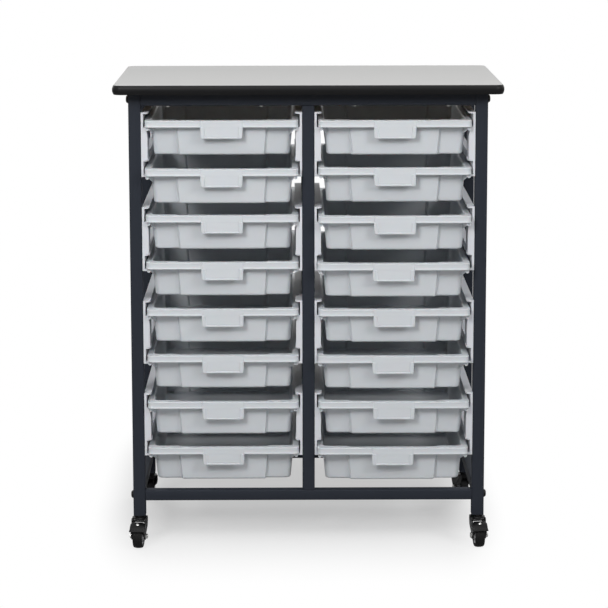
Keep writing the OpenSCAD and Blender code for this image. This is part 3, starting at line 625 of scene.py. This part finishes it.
def inside_rows():
    """Stations up the inside: the floor's curve, the wall, the roll over its edge, and the rim's top."""
    floor_r = FLOOR_R - TRAY_WALL
    turn_r = BODY_R - TURN_SHARE * TRAY_WALL
    bend = np.radians(np.linspace(0, 90, 8))
    curve = wall_rows(-TRAY_H + TRAY_WALL + floor_r * (1 - np.cos(bend)), TRAY_WALL,
                      floor_r * (1 - np.sin(bend)), turn_r)
    rise = np.linspace(-TRAY_H + TRAY_WALL + floor_r + ROW_GAP, -INSIDE_DROP, 9)
    wall = wall_rows(rise, TRAY_WALL, 0 * rise, turn_r)
    # the draft counts from a hair under the rim's top
    rim_level = -1e-6
    bend = np.radians(np.linspace(0, 90, 6))
    roll = wall_rows(np.full(6, rim_level), TRAY_WALL, -ROLL_R * (1 - np.cos(bend)), turn_r)
    roll[:, LEVEL] = -ROLL_R + ROLL_R * np.sin(bend)
    share = np.array([0.25, 0.51, 0.66, 0.78, 0.88, 0.95])[:, None]
    outer = rim_rows(np.array([RIM_EDGE]), 0, np.nan, np.nan)
    top = roll[-1:] + (outer - roll[-1:]) * share
    behind = top[1:, FRONT_IN] - top[1:, PANEL_OUT]
    top[1:, LABEL_Y] = behind
    top[1:, LABEL_Z] = -SINK * np.clip((SINK_FROM - behind) / SINK_RUN, 0, 1)
    return [curve, wall, roll, top]


def lip_rows():
    """Stations over the rim's outer edge, down the lip's face, round its lower edge and up its back."""
    bend = np.radians(np.linspace(0, 90, 7))
    out, low = 1 - np.sin(bend), 1 - np.cos(bend)
    over = rim_rows(RIM_EDGE * out, -RIM_EDGE * low, LABEL_EDGE * out, -SINK - LABEL_EDGE * low)
    face = rim_rows(*(np.array(LIP_FACE) * MM).T)
    inset, height, label_height = np.array(LIP_BACK).T
    back = rim_rows(inset + LIP_T, height, inset + LIP_T, label_height)
    return [over, face, back]


def outside_rows():
    """Stations under the rim to the wall, down the wall and round under the floor."""
    under = wall_rows(np.full(len(UNDER_OUT), -RIM_T), 0, np.array(UNDER_OUT), BODY_R)
    under[0, LABEL_Y:] = UNDER_LABEL
    fall = np.linspace(-RIM_T - OUTSIDE_DROP, -TRAY_H + FLOOR_R + ROW_GAP, 9)
    wall = wall_rows(fall, 0, 0 * fall, BODY_R)
    bend = np.radians(np.linspace(0, 90, 8))
    curve = wall_rows(-TRAY_H + FLOOR_R * (1 - np.sin(bend)), 0, FLOOR_R * (1 - np.cos(bend)), BODY_R)
    return [under, wall, curve]


def tray_rings():
    """The tray's moulding round the middle of its rim's front edge, as rings from pole to pole.

    A point of the front run sits at its step times the panel's half width, or past it on the way to the
    corner. Over the flank the panel sinks to the wall as (1 - s)^1.5, steep at the panel and flat at the
    wall.
    """
    gx, gy, nx, ny = ring_plan(front_steps())
    rows = np.concatenate(inside_rows() + lip_rows() + outside_rows())
    side, front, rear, radius, height, out, panel, label_y, label_z = [column[:, None] for column in rows.T]
    inner_x = TRAY_W / 2 - side - radius
    low_y, high_y = front, TRAY_D - rear
    step = 2 * np.abs(gx)
    beyond = np.clip(step - 1, 0, 1)
    x = np.sign(gx) * np.where(step < 1, step * panel, panel + beyond * (inner_x - panel)) + radius * nx
    y = (low_y + high_y) / 2 + ((high_y - low_y) / 2 - radius) * gy + radius * ny
    z = height + 0 * x
    at_end = np.abs(ny) > 0.999
    y += np.where(at_end, np.sign(gy), 0) * out * (1 - np.clip(beyond / FLANK_SHARE, 0, 1)) ** FLANK_POWER
    label = (gy < 0) & at_end & (np.abs(x) < LABEL_HALF) & ~np.isnan(label_y)
    y = np.where(label, label_y, y)
    z = np.where(label, label_z, z)
    return capped(np.stack([x, y, z], -1), shares=(0.0, 0.3, 0.6, 0.85))


def handle_rings():
    """The label holder under the lip: a plate with a raised border on three sides and round lower corners.

    Columns run across, and each ring goes down the front and up the back. The border stands out where the
    column is past the inner side edge or the height under the inner lower edge. Within the corner radius r
    of the foot, the half width shrinks by r - sqrt(r^2 - d^2), where d is the depth into the corner.
    """
    quarter = np.radians(np.linspace(0, 90, 6))
    side_run = 1 - HOLDER_ROUND
    border_from, border_to = HOLDER_IN - HOLDER_SLOPE, HOLDER_IN + HOLDER_SLOPE
    half = np.concatenate([np.linspace(0, 0.74, 7), [border_from, border_to, 0.86, 0.92],
                           HOLDER_ROUND + side_run * np.sin(quarter)])
    c = np.concatenate([-half[::-1], half[1:]])[:, None]
    rim_z = -HANDLE_H + HOLDER_LOW
    z = np.concatenate([np.linspace(-LIP_H + 0.0006, rim_z + 0.003, 6),
                        [rim_z + HOLDER_STEP, rim_z - HOLDER_STEP]])[None, :]
    bend = quarter[None, :]
    front_z = np.concatenate([z, -HANDLE_H + HOLDER_EDGE * (1 - np.sin(bend))], 1)
    front_y = np.concatenate([0 * z, HOLDER_EDGE * (1 - np.cos(bend))], 1)
    border = np.maximum(smooth_step(border_from, border_to, np.abs(c)),
                        smooth_step(rim_z + HOLDER_STEP, rim_z - HOLDER_STEP, front_z))
    front_y = front_y + (LABEL_IN + HOLDER_CLEAR) * (1 - border)
    back_z = front_z[:, ::-1] + 0 * c
    thick = LABEL_IN + HOLDER_T
    back_edge = 0.6 * HOLDER_EDGE
    back_y = np.concatenate([thick - back_edge * (1 - np.cos(bend[:, ::-1])), thick + 0 * z], 1)
    share = np.clip(np.abs(c) - HOLDER_ROUND, 0, 1) / side_run
    round_off = thick / 2 * (1 - np.sqrt(np.clip(1 - share ** 2, 0, 1)))
    at_side = np.abs(c) > 0.9999
    front_y = np.where(at_side, thick / 2, front_y + round_off)
    back_y = np.where(at_side, thick / 2, back_y - round_off)
    zz = np.concatenate([front_z + 0 * c, back_z], 1)
    yy = np.concatenate([front_y, back_y], 1)
    into = np.clip(-zz - HANDLE_H + HOLDER_TURN, 0, HOLDER_TURN)
    turned = HOLDER_TURN - np.sqrt(HOLDER_TURN ** 2 - into ** 2)
    xx = c * (HOLDER_HALF - HOLDER_TAPER * np.clip(-zz / HANDLE_H, 0, 1) - turned)
    return np.stack([xx, yy, zz], -1)


def strip_rings(path, across, wide):
    """A strip with round edges along a path: path is its middle line, across its half thickness as a vector
    at each point, and wide its half width as one vector. Each ring is a superellipse of across and wide."""
    t = np.linspace(0, 2 * np.pi, 16, endpoint=False)[None, :, None]
    thick = across[:, None] * squarer(np.cos(t), power=0.35)
    broad = np.asarray(wide)[None, None] * squarer(np.sin(t), power=0.35)
    return capped(path[:, None] + thick + broad, shares=(0.0, 0.6))


def web_rings(side, lug_z):
    """The web from a lug to the body's corner: an upright plate along a straight line, from the rim down to
    a foot that falls as s^0.8 from the lug to the body, where s is the share of the way."""
    s = np.linspace(0, 1, 12)
    near = np.array([side * (TRAY_W / 2 - LUG_SET - LUG_W + WEB_LAP), WEB_NEAR_Y])
    far = np.array([side * (TRAY_W / 2 - WEB_FAR_SET), WEB_FAR_Y])
    plan = near + (far - near) * s[:, None]
    foot = lug_z - WEB_FOOT - WEB_FALL * s ** 0.8
    high = -RIM_T + WEB_INTO_RIM
    t = np.linspace(0, 2 * np.pi, 16, endpoint=False)[None, :]
    thick = WEB_HALF_T * squarer(np.cos(t), power=0.35)
    tall = ((high - foot) / 2)[:, None] * squarer(np.sin(t), power=0.12)
    along = (far - near) / np.hypot(*(far - near))
    rings = np.stack([plan[:, :1] + thick * -along[1], plan[:, 1:] + thick * along[0],
                      ((foot + high) / 2)[:, None] + tall], -1)
    return capped(rings, shares=(0.0, 0.6))


def lug_shells():
    """Under each front corner of the rim: a lug curled into a U, its thin back, and the web to the body.

    The U's middle line runs down one side, round a half circle and up the other side.
    """
    radius = LUG_W / 2 - LUG_HALF_WALL
    low = -LIP_H - LUG_DROP + LUG_W / 2
    turn = np.radians(np.linspace(180, 360, 15))[1:-1]
    across = np.concatenate([[-radius, -radius], radius * np.cos(turn), [radius, radius]])
    down = np.concatenate([[-RIM_T, low], low + radius * np.sin(turn), [low, -RIM_T]])
    out_x = np.concatenate([[-1, -1], np.cos(turn), [1, 1]])
    out_z = np.concatenate([[0, 0], np.sin(turn), [0, 0]])
    outward = np.stack([out_x, 0 * out_x, out_z], -1)
    depth = np.array([-LUG_BACK_HALF_T, LUG_BACK_HALF_T])[:, None, None] * np.array([0.0, 1.0, 0.0])
    shells = []
    for side in (-1, 1):
        x = side * (TRAY_W / 2 - LUG_SET - LUG_W / 2)
        path = np.stack([x + across, 0 * across + LUG_Y, down], -1)
        shells.append(strip_rings(path, LUG_HALF_WALL * outward, (0, LUG_HALF_D, 0)))
        back = np.stack([x + LUG_BACK_SHARE * across, 0 * across + LUG_BACK_Y, down], -1)
        shells.append(capped(back[None] + depth, shares=(0.0,)))
        shells.append(web_rings(side, low))
    return shells


def make_trays():
    """All sixteen trays, each moulding at its own place."""
    shape = [tray_rings(), handle_rings()] + lug_shells()
    for column, pulls in (("l", LEFT_OPEN), ("r", RIGHT_OPEN)):
        for i, pull in enumerate(pulls):
            x = -BAY_X if column == "l" else BAY_X + RIGHT_SHIFT[i]
            place = np.array([x, FRONT_Y - CLOSED_OVER - pull, RIM_Z - i * TRAY_PITCH])
            node = "tray_%s%d" % (column, i + 1)
            shells = [(rings + place, False) for rings in shape]
            piece(node + "_moulding", shells, node, "tray_plastic", (node,))


# Worktop

def make_edge_band():
    """The black band: a crowned section, 1 - |2h - 1|^2.2 over its height h, carried round the board."""
    h = np.linspace(0, 1, 25)
    bulge = BAND_T * (1 - np.abs(2 * h - 1) ** 2.2)
    lap = 0.0004
    inset = 0.0003
    out = np.concatenate([bulge, [-lap, -lap]])[:, None]
    z = np.concatenate([TOP_Z - BOARD_T + BOARD_T * h, [TOP_Z - inset, TOP_Z - BOARD_T + inset]])[:, None]
    gx, gy, nx, ny = ring_plan(np.linspace(-1, 1, 9), side_count=7, turn_count=17)
    r = TOP_R - BAND_T
    x = (TOP_W / 2 - TOP_R) * gx + (r + out) * nx
    y = (TOP_D / 2 - TOP_R) * gy + (r + out) * ny
    piece("edge_band_moulding", [(np.stack([x, y, z + 0 * x], -1), True)], "rack", "edge_band",
          ("worktop_edge_band",), sharp=60)


# Casters

def at_caster(rings, name):
    """Rings of a caster's own frame, turned about its stem and moved to its post."""
    side, end = CORNERS[name]
    turn = side * FRONT_TURN if end < 0 else REAR_TURN
    stem = np.array([side * POST_X, POST_FRONT_Y if end < 0 else POST_REAR_Y, 0.0])
    c, s = math.cos(turn), math.sin(turn)
    return rings @ np.array([[c, s, 0], [-s, c, 0], [0, 0, 1]]) + stem


def tyre_rings():
    """The tyre's closed section turned about the axle: flat sides, round shoulders, crown and two grooves.

    The section is a superellipse, rounder on its outer half, and each groove a bell curve across it.
    """
    t = np.linspace(0, 2 * np.pi, 72, endpoint=False)
    cos, sin = np.cos(t), np.sin(t)
    outer = cos > 0
    middle = (WHEEL_R + HUB_R) / 2
    along = WHEEL_W / 2 * squarer(sin, power=np.where(outer, 0.80, 0.55))
    radius = middle + (WHEEL_R - middle) * squarer(cos, power=np.where(outer, 0.75, 0.55))
    groove = np.exp(-((np.abs(along) - GROOVE_AT) / GROOVE_W) ** 2) * (cos > 0.5)
    return revolved(radius - GROOVE_DEEP * groove, along, around=64)


def hub_rings():
    """The hub turned about the axle: bore, boss, dished web and rim, the same on both sides."""
    r = np.array(HUB_RADII) * MM
    a = np.concatenate([CHEEK_X - SLIDE_GAP - np.array(BOSS_IN), WHEEL_W / 2 - np.array(WEB_IN)])
    return revolved(np.concatenate([r, r[::-1]]), np.concatenate([a, -a[::-1]]), around=64)


def bar_rings(angles, widths, lift):
    """A flat bar with round edges along an arc round the wheel: width on X, thickness along the radius."""
    t = np.linspace(0, 2 * np.pi, 40, endpoint=False)
    angles = np.radians(angles)[:, None]
    across = widths[:, None] / 2 * squarer(np.cos(t), power=0.18)
    middle = WHEEL_R + BRAKE_GAP + PEDAL_T / 2 + lift[:, None]
    radius = middle + PEDAL_T / 2 * squarer(np.sin(t), power=0.4)
    rings = np.stack([across + 0 * angles, -TRAIL + radius * np.cos(angles),
                      WHEEL_R + radius * np.sin(angles)], -1)
    return capped(rings, shares=(0.0, 0.7))


def pin_rings(radius, half):
    """A round bar across the pedal's pivot with its two end edges broken."""
    low = radius - PIN_EDGE
    along = np.array([-1, -1, -0.97, 0.97, 1, 1]) * half
    return revolved([0, low, radius, radius, low, 0], along, around=32) + PEDAL_PIVOT


def make_pedal(side):
    """The brake pedal: a plate that runs round the tyre to a lip, and its tongue, barrel and pin."""
    angles = np.linspace(PEDAL_ANGLES[0], PEDAL_ANGLES[-1], 16)
    widths = np.interp(angles, PEDAL_ANGLES, PEDAL_WIDTHS)
    lift = PEDAL_RISE * smooth_step(PEDAL_BEND, PEDAL_ANGLES[-1], angles)
    tongue = np.linspace(*TONGUE_ANGLES, 5)
    shells = [bar_rings(angles, widths, lift),
              bar_rings(tongue, np.full(5, TONGUE_W), np.full(5, -TONGUE_SINK)),
              pin_rings(BARREL_R, CHEEK_X - SLIDE_GAP),
              pin_rings(PIN_R, CHEEK_X + PIN_OUT)]
    placed = [(at_caster(rings, "front_" + side), False) for rings in shells]
    node = "brake_pedal_" + side
    piece(node + "_plate", placed, "pedal_" + side, "black_steel", (node,), sharp=50)


def make_rivet(side):
    """The domed rivet on the pedal's plate, its axis along the wheel's radius."""
    dome = revolved(*(np.array(RIVET_PROFILE) * MM).T, around=32)
    tilt = math.radians(RIVET_ANGLE)
    out = np.array([0, math.cos(tilt), math.sin(tilt)])
    flat = np.array([0, -math.sin(tilt), math.cos(tilt)])
    turned = dome[..., :1] * out + dome[..., 1:2] * np.array([1.0, 0, 0]) + dome[..., 2:] * flat
    turned = turned + AXLE_AT + out * (WHEEL_R + BRAKE_GAP + PEDAL_T)
    placed = at_caster(turned, "front_" + side)
    piece("pedal_rivet_" + side, [(placed, False)], "pedal_" + side, "zinc_steel")


def make_casters():
    """Tyres and hubs of all casters, and the front casters' brake pedals with their rivets."""
    for name in CORNERS:
        tyre = at_caster(tyre_rings() + AXLE_AT, name)
        hub = at_caster(hub_rings() + AXLE_AT, name)
        wheel = "wheel_" + name
        piece("tyre_" + name + "_tread", [(tyre, True)], wheel, "tyre_rubber", ("tyre_" + name,), sharp=60)
        piece("hub_" + name + "_moulding", [(hub, True)], wheel, "hub_plastic", ("hub_" + name,), sharp=35)
    for side in ("left", "right"):
        make_pedal(side)
        make_rivet(side)


# Fasteners

def bolt_head():
    """A dome head: from the floor of its socket up the hexagon, then over the dome to its seat. The
    hexagon's radius is w / cos(a), where a is the angle from the middle of the nearest side."""
    around = 36
    head = revolved(*(np.array(BOLT_PROFILE) * MM).T, around)
    turn = np.linspace(0, 2 * np.pi, around, endpoint=False)
    hexagon = SOCKET_HALF / np.cos((turn + np.pi / 6) % (np.pi / 3) - np.pi / 6)
    head[1:4, :, 1] = hexagon * np.cos(turn)
    head[1:4, :, 2] = hexagon * np.sin(turn)
    return head


def make_side_bolts():
    """Dome heads with a hexagon socket, and their shanks through the posts."""
    shank = revolved([0, SHANK_R, SHANK_R, 0], [-SHANK_L, -SHANK_L, SHANK_LAP, SHANK_LAP], around=24)
    shells = []
    for side in (-1, 1):
        for y in (POST_FRONT_Y, POST_REAR_Y):
            for z in (BOTTOM_RAIL_Z, TOP_RAIL_Z):
                centre = np.array([side * FRAME_W / 2, y, z])
                for rings in (bolt_head(), shank):
                    shells.append((rings * np.array([side, 1, 1]) + centre, False))
    piece("side_bolts_domed", shells, "rack", "black_steel", ("side_bolts",), sharp=45)


def soften_solids():
    """Rounds over the edges of the frame, runners, forks, axles and stems."""
    for node in frame["nodes"]:
        width = EDGE_WIDTH.get(node.split("_")[0])
        if width and node != "rail_inserts":
            softened(node, width)


# Room, light and camera

def white_for_lens(tree, plain):
    """Mixes a shader with white light for the rays that see it straight, in gloss or through glass."""
    path = tree.nodes.new("ShaderNodeLightPath")
    seen = math_node(tree, "MAXIMUM", path.outputs["Is Camera Ray"], path.outputs["Is Glossy Ray"])
    seen = math_node(tree, "MAXIMUM", seen, path.outputs["Is Transmission Ray"])
    white = tree.nodes.new("ShaderNodeBackground")
    white.inputs["Strength"].default_value = 1.0
    white.inputs["Color"].default_value = (1, 1, 1, 1)
    mix = tree.nodes.new("ShaderNodeMixShader")
    tree.links.new(seen, mix.inputs[0])
    tree.links.new(plain, mix.inputs[1])
    tree.links.new(white.outputs[0], mix.inputs[2])
    return mix.outputs[0]


def make_world():
    """Even studio air: a soft ambient light, white where it is seen."""
    world = bpy.data.worlds.new("studio")
    bpy.context.scene.world = world
    world.use_nodes = True
    tree = world.node_tree
    air = tree.nodes["Background"]
    air.inputs["Color"].default_value = (1, 1, 1, 1)
    air.inputs["Strength"].default_value = AMBIENT
    tree.links.new(white_for_lens(tree, air.outputs[0]), tree.nodes["World Output"].inputs["Surface"])


def floor_material():
    """A pale matt floor, lifted for the lens, that fades to white away from the rack.

    The fade runs on the distance from a rectangle under the rack: the length of what is left of |x| and |y|
    past the rectangle's half sides, each measured by the width of the fade on that side.
    """
    material = bpy.data.materials.new("pale_floor")
    material.use_nodes = True
    tree = material.node_tree
    tree.nodes.remove(tree.nodes["Principled BSDF"])
    matt = tree.nodes.new("ShaderNodeBsdfDiffuse")
    matt.inputs["Color"].default_value = FLOOR_GREY
    place = tree.nodes.new("ShaderNodeTexCoord").outputs["Object"]
    moved = vector_node(tree, "SUBTRACT", place, FADE_MIDDLE)
    past = vector_node(tree, "SUBTRACT", vector_node(tree, "ABSOLUTE", moved), FADE_HALF_SIDES)
    share = vector_node(tree, "DIVIDE", vector_node(tree, "MAXIMUM", past), FADE_WIDTHS)
    fade = map_range(tree, vector_node(tree, "LENGTH", share), {"To Min": FADE_START})
    fade.interpolation_type = "SMOOTHSTEP"
    path = tree.nodes.new("ShaderNodeLightPath")
    far = math_node(tree, "MULTIPLY", fade.outputs["Result"], path.outputs["Is Camera Ray"])
    glow = tree.nodes.new("ShaderNodeEmission")
    mix = tree.nodes.new("ShaderNodeMixShader")
    tree.links.new(far, mix.inputs[0])
    tree.links.new(matt.outputs[0], mix.inputs[1])
    tree.links.new(glow.outputs[0], mix.inputs[2])
    tree.links.new(mix.outputs[0], tree.nodes["Material Output"].inputs["Surface"])
    return material


def make_floor():
    """The floor, a square that keeps the rack's shadow."""
    h = FLOOR_HALF
    mesh = bpy.data.meshes.new("floor")
    mesh.from_pydata([(-h, -h, 0), (h, -h, 0), (h, h, 0), (-h, h, 0)], [], [(0, 1, 2, 3)])
    mesh.materials.append(floor_material())
    obj = bpy.data.objects.new("floor", mesh)
    bpy.context.scene.collection.objects.link(obj)


def make_lamp(name, azimuth, elevation, far, size, power):
    """A square soft box that faces the rack's middle, azimuth degrees right of the front and far off it."""
    a, e = math.radians(azimuth), math.radians(elevation)
    level = far * math.cos(e)
    where = (level * math.sin(a), -level * math.cos(a), LAMP_AIM[2] + far * math.sin(e))
    data = bpy.data.lights.new(name, "AREA")
    data.shape = "SQUARE"
    data.size = size
    data.energy = power
    lamp = bpy.data.objects.new(name, data)
    bpy.context.scene.collection.objects.link(lamp)
    lamp.location = where
    lamp.rotation_euler = (Vector(LAMP_AIM) - lamp.location).to_track_quat("-Z", "Y").to_euler()


def make_camera():
    """The photograph's viewing angle: far off, a little above the worktop, almost straight in front."""
    cp, sp = math.cos(PITCH), math.sin(PITCH)
    c, s = math.cos(YAW), math.sin(YAW)
    cr, sr = math.cos(ROLL), math.sin(ROLL)
    rolled = np.array([[cr, 0, sr], [0, 1, 0], [-sr, 0, cr]])
    pitched = np.array([[1, 0, 0], [0, cp, -sp], [0, sp, cp]])
    yawed = np.array([[c, -s, 0], [s, c, 0], [0, 0, 1]])
    right, ahead, up = rolled @ pitched @ yawed
    matrix = np.eye(4)
    matrix[:3, 0], matrix[:3, 1], matrix[:3, 2] = right, up, -ahead
    matrix[:3, 3] = CAMERA_AT
    data = bpy.data.cameras.new("camera")
    data.sensor_width = SENSOR
    data.lens = FOCAL_PIXELS * SENSOR / PICTURE
    data.shift_y = (AXIS_ROW - PICTURE / 2) / PICTURE
    data.clip_end = CLIP_END
    camera = bpy.data.objects.new("camera", data)
    bpy.context.scene.collection.objects.link(camera)
    camera.matrix_world = Matrix(matrix.tolist())
    bpy.context.scene.camera = camera


make_trays()
make_edge_band()
make_casters()
make_side_bolts()
soften_solids()
make_world()
make_floor()
for name, settings in LAMPS.items():
    make_lamp(name, **settings)
make_camera()
bpy.context.scene.view_settings.view_transform = "Standard"
